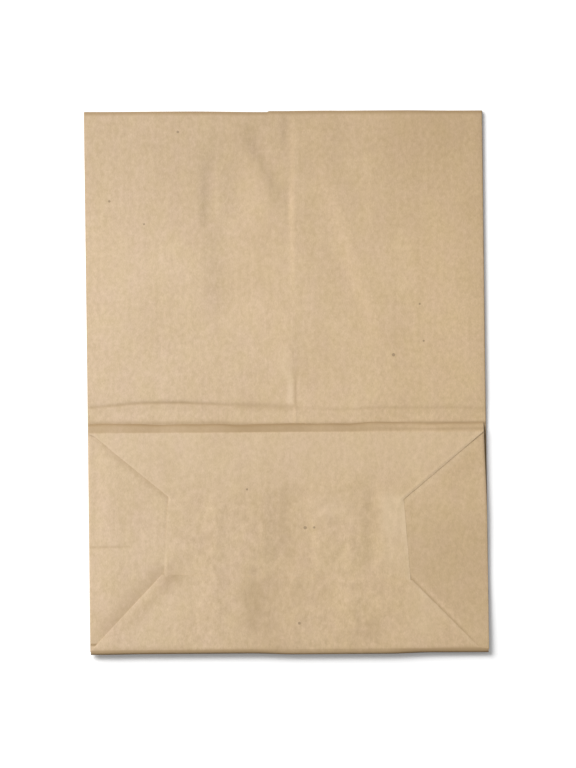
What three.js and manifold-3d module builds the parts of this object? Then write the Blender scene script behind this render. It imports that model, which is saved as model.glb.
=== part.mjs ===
// A brown paper grocery bag with a square bottom, folded flat the way it leaves its maker.
// One sheet of kraft paper makes it all: a tube with a gusset down each side, one end of the tube
// folded and glued into a rectangular bottom, and that bottom folded up against the front panel.
// The bag lies on its back panel, with the bottom on top and the mouth towards +Y.
// Millimetres, +Z up. The origin is on the surface that the bag lies on, under its middle.

import * as THREE from 'three';
import { mergeVertices } from 'three/addons/utils/BufferGeometryUtils.js';
import Module from 'manifold-3d';

// Driving dimensions of the folded bag
const WIDTH = 304.8;
const HEIGHT = 431.8;
const BOTTOM_DEPTH = 177.8;
const FLAP_SLANT = BOTTOM_DEPTH / 3; // a slanting flap edge runs this far in from its corner
const FLAP_TUCK = 22; // the front flap runs on this far under the back flap
const SEAM_LEFT = -10; // the glued lap of the tube runs down the front panel
const SEAM_RIGHT = 15;

// The paper, and how closely its layers lie
const PAPER = 5 / 32;
const TUBE_PITCH = 3 / 4; // from one layer of the tube up to the next, held apart by springy gussets
const BOTTOM_PITCH = 3 / 8; // the layers of the bottom are pressed closer
const GRIP = 5 / 8; // a fold runs on this far into its two panels, and stops this short of a corner
const FOLD_STEPS = 8; // flats in the half turn of a fold

// Layers of the flat bag, counted up from the surface that it lies on
const LAYER = {
  back: 0,
  rearGusset: 1,
  frontGusset: 2,
  front: 3,
  frontReturn: 4,
  gussetReturn: 5,
  gussetFloor: 6,
  endPiece: 7,
  flapCorner: 8,
  frontFlap: 9,
  backFlap: 10,
};

function underside(layer) {
  const tubeLayers = Math.min(layer, LAYER.front);
  return tubeLayers * TUBE_PITCH + (layer - tubeLayers) * BOTTOM_PITCH;
}
const foldRadius = (lower, upper) => (underside(upper) - underside(lower) + PAPER) / 2;

// Creases in plan, set so that the outsides of the folds give the bag its width and height
const SIDE = WIDTH / 2 - foldRadius(LAYER.back, LAYER.rearGusset);
const GUSSET = SIDE - BOTTOM_DEPTH / 2; // inner crease of a gusset
const BOTTOM = foldRadius(LAYER.back, LAYER.backFlap) - HEIGHT / 2;
const MIDDLE = BOTTOM + BOTTOM_DEPTH / 2; // where the front panel turns back under the bottom
const HINGE = BOTTOM + BOTTOM_DEPTH; // top edge of the bottom
const MOUTH = HEIGHT / 2;

// Edges of the two flaps that close the bottom
const FLAP_SIDE = SIDE - FLAP_SLANT;
const FRONT_SHOULDER = HINGE - FLAP_SLANT;
const BACK_TIP = BOTTOM + FLAP_SLANT;
const FRONT_TIP = BACK_TIP - FLAP_TUCK;

// A flat stretch of the sheet: its outline in plan, lying at its layer.
// A doubled stretch has a second thickness glued above or below its own.
function panel(layer, outline, doubled = '') {
  const shape = new THREE.Shape(outline.map(([x, y]) => new THREE.Vector2(x, y)));
  const depth = doubled ? 2 * PAPER : PAPER;
  const base = doubled === 'below' ? underside(layer) - PAPER : underside(layer);
  const geometry = new THREE.ExtrudeGeometry(shape, { depth, bevelEnabled: false });
  return geometry.translate(0, 0, base);
}

function rectangle(left, bottom, right, top) {
  return [[left, bottom], [right, bottom], [right, top], [left, top]];
}

// A fold: a half-round strip along a crease, which turns the sheet from one layer to a higher one.
// It bulges out of the crease towards the direction given, and can stop short at either end.
function fold(lower, upper, from, to, bulge, { fromGap = GRIP, toGap = GRIP } = {}) {
  const bottom = underside(lower);
  const top = underside(upper) + PAPER;
  const centre = (bottom + top) / 2;
  const outer = foldRadius(lower, upper);
  const inner = outer - PAPER;
  const outside = new THREE.EllipseCurve(0, centre, outer, outer, -Math.PI / 2, Math.PI / 2);
  const inside = new THREE.EllipseCurve(0, centre, inner, inner, Math.PI / 2, -Math.PI / 2, true);
  const profile = new THREE.Shape([
    new THREE.Vector2(-GRIP, bottom),
    ...outside.getPoints(FOLD_STEPS),
    new THREE.Vector2(-GRIP, top),
    new THREE.Vector2(-GRIP, top - PAPER),
    ...inside.getPoints(FOLD_STEPS),
    new THREE.Vector2(-GRIP, bottom + PAPER),
  ]);

  // The strip starts at the end of the crease that has the bulge on its left
  const up = new THREE.Vector3(0, 0, 1);
  const out = new THREE.Vector3(...bulge, 0).normalize();
  const along = new THREE.Vector3().crossVectors(out, up);
  const start = new THREE.Vector3(...from, 0);
  const end = new THREE.Vector3(...to, 0);
  const forward = end.clone().sub(start).dot(along) > 0;
  const first = forward ? start : end;
  const depth = start.distanceTo(end) - fromGap - toGap;
  first.addScaledVector(along, forward ? fromGap : toGap);

  const geometry = new THREE.ExtrudeGeometry(profile, { depth, bevelEnabled: false });
  return geometry.applyMatrix4(new THREE.Matrix4().makeBasis(out, up, along).setPosition(first));
}

// The panels and folds that cross the whole width of the bag
function middlePieces() {
  const frontFlap = [
    [-SIDE, HINGE],
    [-FLAP_SIDE, FRONT_SHOULDER],
    [-FLAP_SIDE, FRONT_TIP],
    [FLAP_SIDE, FRONT_TIP],
    [FLAP_SIDE, FRONT_SHOULDER],
    [SIDE, HINGE],
  ];
  const backFlap = [
    [-SIDE, BOTTOM],
    [SIDE, BOTTOM],
    [FLAP_SIDE, BACK_TIP],
    [-FLAP_SIDE, BACK_TIP],
  ];
  return [
    panel(LAYER.back, rectangle(-SIDE, BOTTOM, SIDE, MOUTH)),
    panel(LAYER.front, rectangle(-SIDE, MIDDLE, SIDE, MOUTH)),
    panel(LAYER.frontReturn, rectangle(-SIDE, MIDDLE, SIDE, HINGE)),
    panel(LAYER.frontFlap, frontFlap),
    panel(LAYER.backFlap, backFlap),
    panel(LAYER.front, rectangle(SEAM_LEFT, MIDDLE, SEAM_RIGHT, MOUTH), 'below'),
    panel(LAYER.frontReturn, rectangle(SEAM_LEFT, MIDDLE, SEAM_RIGHT, HINGE), 'above'),
    panel(LAYER.frontFlap, rectangle(SEAM_LEFT, FRONT_TIP, SEAM_RIGHT, HINGE), 'below'),
    fold(LAYER.front, LAYER.frontReturn, [-SIDE, MIDDLE], [SIDE, MIDDLE], [0, -1]),
    fold(LAYER.frontReturn, LAYER.frontFlap, [-SIDE, HINGE], [SIDE, HINGE], [0, 1]),
    fold(LAYER.back, LAYER.backFlap, [-SIDE, BOTTOM], [SIDE, BOTTOM], [0, -1]),
  ];
}

// One side of the bag: its gusset, and the end piece that the gusset makes of the bottom
function sidePieces(hand) {
  const at = (x, y) => [hand * x, y];
  const toMouth = { toGap: 0 };
  return [
    // The two leaves of the gusset, between the back panel and the front panel
    panel(LAYER.rearGusset, [at(SIDE, BOTTOM), at(SIDE, MOUTH), at(GUSSET, MOUTH), at(GUSSET, MIDDLE)]),
    panel(LAYER.frontGusset, [at(SIDE, MIDDLE), at(SIDE, MOUTH), at(GUSSET, MOUTH), at(GUSSET, MIDDLE)]),
    fold(LAYER.back, LAYER.rearGusset, at(SIDE, BOTTOM), at(SIDE, MOUTH), at(1, 0), toMouth),
    fold(LAYER.rearGusset, LAYER.frontGusset, at(GUSSET, MIDDLE), at(GUSSET, MOUTH), at(-1, 0), toMouth),
    fold(LAYER.frontGusset, LAYER.front, at(SIDE, MIDDLE), at(SIDE, MOUTH), at(1, 0), toMouth),

    // The two triangles that the foot of the gusset folds into when the bottom is turned up
    panel(LAYER.gussetReturn, [at(SIDE, HINGE), at(SIDE, MIDDLE), at(GUSSET, MIDDLE)]),
    panel(LAYER.gussetFloor, [at(SIDE, HINGE), at(SIDE, BOTTOM), at(GUSSET, MIDDLE)]),
    fold(LAYER.frontGusset, LAYER.gussetReturn, at(GUSSET, MIDDLE), at(SIDE, MIDDLE), at(0, -1)),
    fold(LAYER.frontReturn, LAYER.gussetReturn, at(SIDE, MIDDLE), at(SIDE, HINGE), at(1, 0)),
    fold(LAYER.gussetReturn, LAYER.gussetFloor, at(GUSSET, MIDDLE), at(SIDE, HINGE), at(-1, 1)),
    fold(LAYER.rearGusset, LAYER.gussetFloor, at(SIDE, BOTTOM), at(GUSSET, MIDDLE), at(-1, -1)),

    // The end piece of the bottom, and its corners folded in under the two flaps
    panel(LAYER.endPiece, [at(SIDE, BOTTOM), at(SIDE, HINGE), at(FLAP_SIDE, HINGE), at(FLAP_SIDE, BOTTOM)]),
    panel(LAYER.flapCorner, [at(SIDE, HINGE), at(FLAP_SIDE, HINGE), at(FLAP_SIDE, FRONT_SHOULDER)]),
    panel(LAYER.flapCorner, [at(SIDE, BOTTOM), at(FLAP_SIDE, BOTTOM), at(FLAP_SIDE, BACK_TIP)]),
    fold(LAYER.gussetFloor, LAYER.endPiece, at(SIDE, BOTTOM), at(SIDE, HINGE), at(1, 0)),
    fold(LAYER.endPiece, LAYER.flapCorner, at(FLAP_SIDE, HINGE), at(SIDE, HINGE), at(0, 1)),
    fold(LAYER.endPiece, LAYER.flapCorner, at(FLAP_SIDE, BOTTOM), at(SIDE, BOTTOM), at(0, -1)),
    fold(LAYER.flapCorner, LAYER.frontFlap, at(FLAP_SIDE, FRONT_SHOULDER), at(SIDE, HINGE), at(1, -1)),
    fold(LAYER.flapCorner, LAYER.backFlap, at(FLAP_SIDE, BACK_TIP), at(SIDE, BOTTOM), at(1, 1)),
  ];
}

// Joins the panels and folds into the one sheet that they are
const wasm = await Module();
wasm.setup();

function solid(geometry) {
  geometry.deleteAttribute('normal');
  geometry.deleteAttribute('uv');
  const merged = mergeVertices(geometry);
  const vertProperties = merged.attributes.position.array;
  const triVerts = Uint32Array.from(merged.index.array);
  return new wasm.Manifold(new wasm.Mesh({ numProp: 3, vertProperties, triVerts }));
}

function joined(geometries) {
  const whole = geometries.map(solid).reduce((sum, next) => sum.add(next));
  const { vertProperties, triVerts } = whole.getMesh();
  const geometry = new THREE.BufferGeometry();
  geometry.setAttribute('position', new THREE.BufferAttribute(vertProperties, 3));
  geometry.setIndex(new THREE.BufferAttribute(triVerts, 1));
  geometry.computeVertexNormals();
  return geometry;
}

const kraftPaper = new THREE.MeshStandardMaterial({ color: 0xd1b896, roughness: 0.88, metalness: 0 });
const bag = new THREE.Mesh(joined([...middlePieces(), ...sidePieces(1), ...sidePieces(-1)]), kraftPaper);
bag.name = 'paper_bag';

const flatBag = new THREE.Group();
flatBag.add(bag);

export default flatBag;
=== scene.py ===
import math
from collections import namedtuple

import bpy
import numpy as np
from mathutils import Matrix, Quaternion, Vector


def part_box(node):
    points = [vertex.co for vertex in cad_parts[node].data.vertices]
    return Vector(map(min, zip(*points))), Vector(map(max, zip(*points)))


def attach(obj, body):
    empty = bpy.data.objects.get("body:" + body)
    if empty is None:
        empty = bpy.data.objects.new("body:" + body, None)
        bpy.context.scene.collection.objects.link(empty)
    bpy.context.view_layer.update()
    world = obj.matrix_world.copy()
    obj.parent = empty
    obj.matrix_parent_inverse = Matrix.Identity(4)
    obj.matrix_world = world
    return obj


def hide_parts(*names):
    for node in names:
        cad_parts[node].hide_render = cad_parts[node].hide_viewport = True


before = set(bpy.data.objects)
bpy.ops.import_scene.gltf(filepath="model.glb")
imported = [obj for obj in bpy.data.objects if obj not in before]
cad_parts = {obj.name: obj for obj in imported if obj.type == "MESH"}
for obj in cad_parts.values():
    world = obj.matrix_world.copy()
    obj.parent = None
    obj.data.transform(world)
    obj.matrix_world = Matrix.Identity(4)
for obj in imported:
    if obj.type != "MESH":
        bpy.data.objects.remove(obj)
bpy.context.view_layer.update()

# The tube
# One sheet of brown kraft paper, bent round into a flat tube and glued along a lap down its front.
# Each side is pushed in as a gusset, so the tube is four layers thick at its sides and two between.

MM = 0.001
bag_low, bag_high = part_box("paper_bag")
WIDTH = (bag_high.x - bag_low.x) / MM
HEIGHT = (bag_high.y - bag_low.y) / MM
THICKNESS = (bag_high.z - bag_low.z) / MM
BOTTOM_DEPTH = 177.8
PAPER = 0.16

# Height of each layer's middle, as a share of the thickness of the folded bag
LAYER_SHARE = {
    "back": 0.016,
    "rear gusset": 0.165,
    "front gusset": 0.314,
    "front": 0.463,
    "front return": 0.55,
    "gusset return": 0.63,
    "gusset floor": 0.71,
    "end piece": 0.84,
    "flap corner": 0.862,
    "front flap": 0.91,
    "back flap": 0.943,
}
LEVEL = {layer: share * THICKNESS for layer, share in LAYER_SHARE.items()}

# Creases in plan; the folds stand a little outside them
SIDE_FOLD = 0.35
BOTTOM_FOLD = THICKNESS / 2 - PAPER / 2
SIDE = WIDTH / 2 - SIDE_FOLD - PAPER / 2
GUSSET = SIDE - BOTTOM_DEPTH / 2
MOUTH = HEIGHT / 2
BOTTOM = BOTTOM_FOLD + PAPER / 2 - HEIGHT / 2
MIDDLE = BOTTOM + BOTTOM_DEPTH / 2
HINGE = BOTTOM + BOTTOM_DEPTH

# A soft fold rises across the sheet over its width and sinks back. A drifting fold is a step that moves
# across as it runs on. A patch is a bell across. Each eases out past the low and high end of its span.
# A name that ends in run holds a start and a width, and one that ends in span a start, an end and a fade
SoftFold = namedtuple("SoftFold", "rise start width back low high ease")
DriftingFold = namedtuple("DriftingFold", "rise start drift width reach low high ease")
Patch = namedtuple("Patch", "amount x width low high ease")

# The front's folds, by the distance down from the mouth, and its sag, its ripples and its rolled right edge
FRONT_FOLDS = [
    SoftFold(-1.3, -65, 20, 44, 34, 150, 30),
    SoftFold(-0.95, -65, 7, 10, 48, 84, 14),
    SoftFold(-0.7, -49, 14, 26, 46, 76, 16),
    SoftFold(-0.35, 36, 9, 22, 0, 34, 18),
    SoftFold(0.55, 57, 12, 44, 50, 84, 26),
]
FRONT_DRIFTS = [
    DriftingFold(-2.1, -38.5, 0.5, 10, 22, 24, 62, 16),
    DriftingFold(1.3, 11.4, 0.32, 14, 24, 52, 165, 28),
]
FRONT_SAG = 0.8
FRONT_SAG_REACH = 58.0
BROAD_RIPPLE = 0.25
FINE_RIPPLE = 0.12
SIDE_EASE = 14.0
RIGHT_ROLL = 0.12
RIGHT_ROLL_WIDTH = 2.8
RIGHT_ROLL_RISE = 60.0
FRONT_RUN = (8.0, 20.0)

# The lap's edge halfway up and its slant, and the folds beside it, by the distance down from the mouth
LAP_EDGE = 4.5
LAP_SLANT = 0.0125
LAP_STEP = SoftFold(0.55, -2.6, 5, 46, 0, 100, 80)
LAP_STEP_AT_MOUTH = 0.4
LAP_STEP_RUN = (14.0, 20.0)
LAP_FOLDS = [
    SoftFold(-0.85, -11, 8, 30, 8, 24, 9),
    SoftFold(0.45, -16, 14, 12, 172, 200, 14),
    SoftFold(-0.2, -0.5, 4.5, 40, 202, 432, 24),
]
LAP_DENT = Patch(-0.36, -3.2, 2.4, 66, 84, 10)

# The cut edge at the mouth: its step beside the lap, its bow, and how far it is out of square
MOUTH_STEP = 0.8
MOUTH_STEP_AT = -11.5
MOUTH_STEP_WIDTH = 1.2
MOUTH_CUT_RUN = (-75.0, 60.0)
MOUTH_BOW = 0.4
MOUTH_BOW_AT = 20.0
MOUTH_BOW_REACH = 70.0
MOUTH_DROP = 0.35
MOUTH_DROP_RUN = (90.0, 40.0)
MOUTH_SLOPE = 0.003
MOUTH_FADE = 40.0

# An old crease that crosses the front above the bottom: how far up it is at places across, and how sharp.
# It is darker along its line, with a soft painted shadow just below it
OLD_CREASE_AT = [-152, -112, -80, -50, 3, 10, 41, 72, 152]
OLD_CREASE_Y = [-19.9, -16.4, -16.2, -17.9, -20.5, -20.9, -22.7, -21.2, -22.3]
OLD_CREASE_WEAR = [0.52, 0.7, 0.88, 0.53, 0.44, 0.2, 0.18, 0.36, 0.3]
OLD_CREASE_DENT = 0.35
OLD_CREASE_WIDTH = 1.5
OLD_CREASE_TONE = 0.62
OLD_CREASE_TONE_WIDTH = 1.2
OLD_CREASE_SPREAD = 1.8
OLD_CREASE_SPREAD_SPAN = (-32.0, 2.0, 14.0)
OLD_CREASE_SHADE = 0.14
OLD_CREASE_SHADE_WIDTH = 4.0

# How the front is darkened: by a painted contact shadow on the line above the hinge where the nose meets it,
# by painted shade along the rim at the mouth, by painted shade in patches where soft folds would shade it,
# by painted shade and a painted highlight along the lap's lower end, by the distance up from the hinge, and
# by painted shade in the shaded strip at the right beside the bottom
HINGE_TONE = 0.48
HINGE_TONE_RIGHT = 0.27
HINGE_TONE_RUN = (30.0, 70.0)
HINGE_LINE_UP = 2.6
HINGE_LINE_SINK = 0.9
HINGE_LINE_WIDTH = 2.2
HINGE_LINE_THIN = 0.8
HINGE_LINE_RUN = (-60.0, 40.0)
MOUTH_TONE = 0.75
MOUTH_TONE_DEPTH = 4.0
MOUTH_TONE_WIDTH = 3.0
MOUTH_DIP = 0.3
MOUTH_DIP_WIDTH = 3.0
FRONT_TONES = [
    Patch(0.11, 128, 28, 0, 10, 55),
    Patch(0.1, -18, 16, 104, 138, 16),
    Patch(0.09, 140, 13, 84, 140, 20),
]
LAP_TONES = [
    Patch(0.4, LAP_EDGE + 2.3, 1.0, 20, 36, 7),
    Patch(-0.24, LAP_EDGE - 1.3, 2.2, 20, 38, 7),
    Patch(-0.17, LAP_EDGE - 6.0, 4.5, 44, 56, 10),
]
LAP_RIDGE = Patch(0.25, LAP_EDGE + 2.3, 1.0, 4, 14, 4)
RIGHT_SHADE = 0.9
RIGHT_SHADE_STRIP_RUN = (-4.0, 2.0)
RIGHT_SHADE_START_RUN = (10.0, 60.0)
RIGHT_SHADE_END_RUN = (-3.0, 2.0)
RIGHT_FOLD_SHADE = 0.65
# Every fold is darkened a little: partly a worn crease, partly painted shade
FOLD_WEAR_AND_SHADE = 0.25

COLUMN_STEP = 3.2
ROW_STEP = 7.0
FINE_STEP = 0.9
GUSSET_COLUMNS = 6


def smooth(t):
    """Goes from 0 at t = 0 to 1 at t = 1 as 3 t squared less 2 t cubed, and is level outside."""
    t = np.clip(t, 0.0, 1.0)
    return t * t * (3.0 - 2.0 * t)


def bell(t):
    """A bell curve: e to the power of minus t squared."""
    return np.exp(-t * t)


def ease(t, start, width):
    """Goes smoothly from 0 at the start to 1 a width further on."""
    return smooth((t - start) / width)


def span(t, start, end, fade):
    """1 between start and end, easing to 0 over the given distance outside each."""
    return smooth((t - start) / fade + 1) * (1 - smooth((t - end) / fade))


def knots(start, end, step, fine=(), fine_step=1.0):
    """Places from start to end about a step apart, and closer together inside each fine stretch."""
    turns = sorted({start, end, *(e for stretch in fine for e in stretch if start < e < end)})
    runs = []
    for a, b in zip(turns[:-1], turns[1:]):
        inside = any(low <= (a + b) / 2 <= high for low, high in fine)
        count = max(1, round((b - a) / (fine_step if inside else step)))
        runs.append(np.linspace(a, b, count, endpoint=False))
    return np.append(np.concatenate(runs), end)


def soft_folds(folds, x, along):
    """Sum of soft folds: each a smooth rise across x times a slower fall, over its span along the sheet."""
    total = np.zeros(np.shape(x))
    for each in folds:
        up = smooth((x - each.start) / each.width)
        back = 1 - smooth((x - each.start - each.width) / each.back)
        total = total + each.rise * up * back * span(along, each.low, each.high, each.ease)
    return total


def drifting_folds(folds, x, along):
    """Sum of drifting folds: each a smooth step times a bell about a drifting line, over its span along."""
    total = np.zeros(np.shape(x))
    for each in folds:
        off_line = x - each.start - each.drift * along
        step = (smooth(off_line / each.width + 0.5) - 0.5) * bell(off_line / each.reach)
        total = total + each.rise * step * span(along, each.low, each.high, each.ease)
    return total


def patches(marks, x, along):
    """Sum of patches: each a bell across x, over its span along the sheet."""
    total = np.zeros(np.shape(x))
    for each in marks:
        bulge = each.amount * bell((x - each.x) / each.width)
        total = total + bulge * span(along, each.low, each.high, each.ease)
    return total


def front_waves(x, y):
    """Rise of the front panel over its level: folds that run down from the mouth.

    The panel sags in the middle by a bell and ripples by two products of waves. All of it eases out at
    both sides, and the right edge is rolled down.
    """
    down = MOUTH - y
    z = soft_folds(FRONT_FOLDS, x, down) + drifting_folds(FRONT_DRIFTS, x, down)
    z -= FRONT_SAG * bell(x / FRONT_SAG_REACH)
    z += BROAD_RIPPLE * np.sin(x / 24.0 + 0.8) * np.sin(y / 61.0 + 0.5)
    z += FINE_RIPPLE * np.sin(x / 10.5 + y / 47.0) * bell(x / 110.0)
    rolled = RIGHT_ROLL * smooth((SIDE - x) / RIGHT_ROLL_WIDTH) * smooth((x + SIDE) / RIGHT_ROLL_RISE)
    return z * smooth((SIDE - np.abs(x)) / SIDE_EASE) + rolled


def lap_rise(x, y):
    """Rise along the lap's edge: a step up near the mouth with dents before it, and a ridge below.

    The edge slants a little, so x counts from it as it shifts with y.
    """
    down = MOUTH - y
    off_lap = x - LAP_EDGE - LAP_SLANT * y
    step = soft_folds([LAP_STEP], off_lap, down)
    step *= LAP_STEP_AT_MOUTH + (1 - LAP_STEP_AT_MOUTH) * ease(down, *LAP_STEP_RUN)
    return step + patches([LAP_DENT], off_lap, down) + soft_folds(LAP_FOLDS, off_lap, down)


def mouth_cut(x, y):
    """How far the sheet is cut back at the mouth: slowly more up to the step beside the lap, then none.

    The cut also bows up by a bell, drops off smoothly at the right and is a little out of square, so it
    takes more off at the right. It fades out below the mouth.
    """
    cut = MOUTH_STEP * ease(x, *MOUTH_CUT_RUN)
    cut = cut * (1 - smooth((x - MOUTH_STEP_AT) / MOUTH_STEP_WIDTH + 0.5))
    bow = MOUTH_DROP * ease(x, *MOUTH_DROP_RUN)
    bow = bow - MOUTH_BOW * bell((x - MOUTH_BOW_AT) / MOUTH_BOW_REACH)
    return (cut + bow + MOUTH_SLOPE * x) * smooth((y - MOUTH + MOUTH_FADE) / MOUTH_FADE)


def points(x, y, z):
    """Stacks three arrays of millimetres, spread to one shape, into a grid of points."""
    return np.stack(np.broadcast_arrays(x, y, z), axis=-1).astype(float)


def fold_shares(steps):
    """Shares of the way up a fold: half of 1 less a cosine, so that they lie closer at both ends."""
    return (1 - np.cos(np.linspace(0.0, math.pi, steps + 1))) / 2


def fold(lower, upper, outwards, reach, steps=4, nose=0.5, fullness=2.0):
    """A fold of the sheet, from a row of points on one layer round to the matching row on a higher one.

    A share s of the way up it stands out by reach times a curve: a quarter round up to the nose, then
    one less u to the power of fullness, and the root of that, with u the share of the way past the nose.
    """
    s = fold_shares(steps)
    before = np.sqrt(1 - (1 - np.minimum(s / nose, 1.0)) ** 2)
    past = np.maximum((s - nose) / (1 - nose), 0.0)
    bulge = np.where(s < nose, before, (1 - past**fullness) ** (1 / fullness))
    reach = np.broadcast_to(np.asarray(reach, float), lower.shape[:1])
    out = np.array([*outwards, 0.0]) / math.hypot(*outwards)
    between = lower[:, None] * (1 - s[:, None]) + upper[:, None] * s[:, None]
    return between + reach[:, None, None] * bulge[None, :, None] * out


grids = []


def keep(grid, crease_and_shade=0.0):
    """Keeps a grid of the sheet, with how dark its creases, wear and painted shade make it, to be joined to
    the rest.
    """
    grids.append((grid, np.broadcast_to(np.asarray(crease_and_shade, float), grid.shape[:2])))
    return grid


fine_columns = [
    (-SIDE, -SIDE + 5),
    (MOUTH_STEP_AT - 2, MOUTH_STEP_AT + 2),
    (LAP_EDGE - 7, LAP_EDGE + 6),
    (SIDE - 5, SIDE),
]
fine_rows = [(HINGE - 1, HINGE + 24), (MOUTH - 4, MOUTH)]
columns = knots(-SIDE, SIDE, COLUMN_STEP, fine_columns, FINE_STEP)
front_rows = knots(MIDDLE, MOUTH, ROW_STEP, fine_rows, FINE_STEP)
back_rows = BOTTOM + (front_rows - MIDDLE) * (MOUTH - BOTTOM) / (MOUTH - MIDDLE)

x, y = np.meshgrid(columns, back_rows, indexing="ij")
back = keep(points(x, y - mouth_cut(x, y), LEVEL["back"]))

x, y = np.meshgrid(columns, front_rows, indexing="ij")
down, above = MOUTH - y, y - HINGE
off_crease = y - np.interp(x, OLD_CREASE_AT, OLD_CREASE_Y)
wear = np.interp(x, OLD_CREASE_AT, OLD_CREASE_WEAR)
rise = (front_waves(x, y) + lap_rise(x, y)) * ease(above, *FRONT_RUN)
rise -= OLD_CREASE_DENT * wear * bell(off_crease / OLD_CREASE_WIDTH)
rise -= MOUTH_DIP * smooth(1 - down / MOUTH_DIP_WIDTH)
rise += patches([LAP_RIDGE], x, above)
tone_width = OLD_CREASE_TONE_WIDTH + OLD_CREASE_SPREAD * span(x, *OLD_CREASE_SPREAD_SPAN)
wear_and_shade = wear * OLD_CREASE_TONE * bell(off_crease / tone_width)
# A soft painted shadow just below the old crease
wear_and_shade += wear * OLD_CREASE_SHADE * bell((off_crease + OLD_CREASE_WIDTH) / OLD_CREASE_SHADE_WIDTH)
# A painted contact shadow on the front along the line just above the hinge's nose
narrow = ease(x, *HINGE_LINE_RUN)
off_line = above - HINGE_LINE_UP + HINGE_LINE_SINK * narrow
line_tone = HINGE_TONE + HINGE_TONE_RIGHT * ease(x, *HINGE_TONE_RUN)
wear_and_shade += line_tone * bell(off_line / (HINGE_LINE_WIDTH - HINGE_LINE_THIN * narrow))
# Painted shade along the rim at the mouth
wear_and_shade += MOUTH_TONE * smooth((MOUTH_TONE_DEPTH - down) / MOUTH_TONE_WIDTH)
# Painted shade in patches where soft folds would shade the front, and painted shade and highlight beside the
# lap's edge
wear_and_shade += patches(FRONT_TONES, x, down) + patches(LAP_TONES, x, above)
# Painted shade in the strip at the right beside the bottom
shaded = ease(y - MIDDLE, *RIGHT_SHADE_START_RUN) * (1 - ease(above, *RIGHT_SHADE_END_RUN))
wear_and_shade += RIGHT_SHADE * ease(x - SIDE, *RIGHT_SHADE_STRIP_RUN) * shaded
front = keep(points(x, y - mouth_cut(x, y), LEVEL["front"] + rise), wear_and_shade)

rear_leaf, front_leaf = {}, {}
inward = np.linspace(0.0, 1.0, GUSSET_COLUMNS)[:, None]
for hand in (-1, 1):
    edge = -1 if hand > 0 else 0
    x = hand * (SIDE * (1 - inward) + GUSSET * inward)
    y = back_rows * (1 - inward) + front_rows * inward
    rear_leaf[hand] = keep(points(x, y - mouth_cut(x, y), LEVEL["rear gusset"]))
    y = np.broadcast_to(front_rows, y.shape)
    front_leaf[hand] = keep(points(x, y - mouth_cut(x, y), LEVEL["front gusset"]))
    # Fold wear and painted shade on the side folds, with more painted shade on the right one beside the
    # bottom
    side_fold_tone = FOLD_WEAR_AND_SHADE + RIGHT_FOLD_SHADE * (hand > 0) * shaded[edge][:, None]
    keep(fold(back[edge], rear_leaf[hand][0], (hand, 0), SIDE_FOLD), FOLD_WEAR_AND_SHADE)
    keep(fold(rear_leaf[hand][-1], front_leaf[hand][-1], (-hand, 0), SIDE_FOLD), FOLD_WEAR_AND_SHADE)
    keep(fold(front_leaf[hand][0], front[edge], (hand, 0), SIDE_FOLD), side_fold_tone)

# The bottom
# The foot of the tube, opened out flat and turned up against the front. The front panel doubles back
# under it, and the foot of each gusset folds into two triangles.

RIGHT_INSET = 1.5
INSET_LENGTH = 78.0
HINGE_LIFT = 0.9
LIFT_LENGTH = 60.0
FLOOR_LIFT_SHARE = 0.5
FOOT_FOLD = 3 * SIDE_FOLD
FLAP_TOP = HINGE - 6.0
RETURN_STEP = 9.0
return_rows = knots(MIDDLE, HINGE, RETURN_STEP)

# The rows of the end pieces lie closer together where a nick and a short crease cross them
END_STEP = 2.9
END_FINE_STEP = 0.8
fine_ends = [(BOTTOM + 3.4, BOTTOM + 7.4), (MIDDLE - 8.4, MIDDLE - 4.4)]
end_rows = knots(BOTTOM, FLAP_TOP, END_STEP, fine_ends, END_FINE_STEP)


def bottom_side(hand, y):
    """X of the bottom's side crease: at the right it stands in from the tube towards the hinge."""
    inset = RIGHT_INSET * smooth((y - HINGE + INSET_LENGTH) / INSET_LENGTH)
    return hand * (SIDE - inset * (hand > 0))


def hinge_lift(y):
    """The springy fold holds the layers of the bottom up a little, smoothly more towards the hinge."""
    return HINGE_LIFT * smooth((y - HINGE + LIFT_LENGTH) / LIFT_LENGTH)


def triangle(hand, rows, layer, lift_share):
    """A triangle of a gusset's foot: rows along the side crease, drawn together to the inner crease."""
    x = bottom_side(hand, rows) * (1 - inward) + hand * GUSSET * inward
    y = rows * (1 - inward) + MIDDLE * inward
    return keep(points(x, y, LEVEL[layer] + lift_share * hinge_lift(y)))


across = (columns + SIDE) / (2 * SIDE)
x = bottom_side(-1, return_rows) * (1 - across[:, None]) + bottom_side(1, return_rows) * across[:, None]
front_return = keep(points(x, return_rows, LEVEL["front return"]))
keep(fold(front[:, 0], front_return[:, 0], (0, -1), SIDE_FOLD), FOLD_WEAR_AND_SHADE)

gusset_floor = {}
for hand in (-1, 1):
    edge = -1 if hand > 0 else 0
    turned_back = triangle(hand, return_rows, "gusset return", 0.0)
    gusset_floor[hand] = triangle(hand, end_rows, "gusset floor", FLOOR_LIFT_SHARE)
    keep(fold(front_leaf[hand][:, 0], turned_back[:, 0], (0, -1), FOOT_FOLD), FOLD_WEAR_AND_SHADE)
    keep(fold(front_return[edge], turned_back[0], (hand, 0), SIDE_FOLD), FOLD_WEAR_AND_SHADE)
    keep(fold(turned_back[:, -1], gusset_floor[hand][:, -1], (-hand, 1), SIDE_FOLD), FOLD_WEAR_AND_SHADE)
    keep(fold(rear_leaf[hand][:, 0], gusset_floor[hand][:, 0], (-hand, -1), FOOT_FOLD), FOLD_WEAR_AND_SHADE)

# The flaps
# Two flaps close the bottom over its end pieces. The front flap comes down from the hinge with slanting
# sides and a straight tab; the back flap comes up from the bottom edge and is glued over the tab.

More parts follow.
